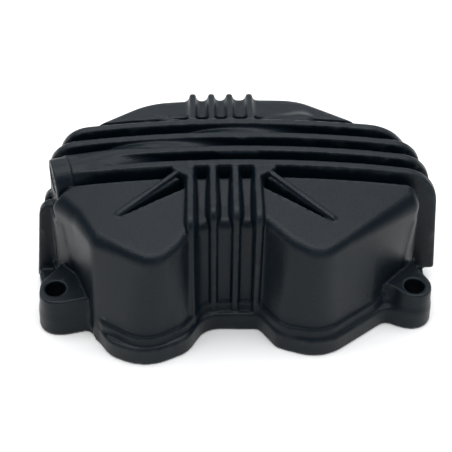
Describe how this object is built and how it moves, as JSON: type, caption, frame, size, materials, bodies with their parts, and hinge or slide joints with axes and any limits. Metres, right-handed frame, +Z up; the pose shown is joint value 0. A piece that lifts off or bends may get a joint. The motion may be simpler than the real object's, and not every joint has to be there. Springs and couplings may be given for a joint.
{
  "type": "cylinder head cover",
  "caption": "Black die-cast cover for the rocker chamber of an air-cooled single, with full-width cooling fins, cross ribs, a diagonal passage ridge and ears for bolts.",
  "frame": {"origin": "bottom centre of the bounding box, on the mating face", "axes": "+X along the cooling fins, +Y from the lobed side to the rear hump, +Z up from the mating face"},
  "size_m": [0.1888, 0.1162, 0.074],
  "materials": {
    "black_paint": "satin black paint over die-cast aluminium",
    "seal_rubber": "moulded",
    "baffle_gasket": "fibre-filled sheet",
    "zinc_plate": "zinc plated",
    "plug_steel": "blackened",
    "copper_seal": "soft copper",
    "screw_steel": "zinc plated"
  },
  "bodies": {
    "root": {"cover_casting": "black_paint", "cover_seal": "seal_rubber", "breather_baffle_seal": "baffle_gasket", "breather_baffle_plate": "zinc_plate", "passage_plug": "plug_steel", "passage_plug_seal": "copper_seal", "baffle_screw_1": "screw_steel", "baffle_screw_2": "screw_steel", "baffle_screw_3": "screw_steel", "baffle_screw_4": "screw_steel", "baffle_screw_5": "screw_steel", "baffle_screw_6": "screw_steel"}
  },
  "joints": []
}
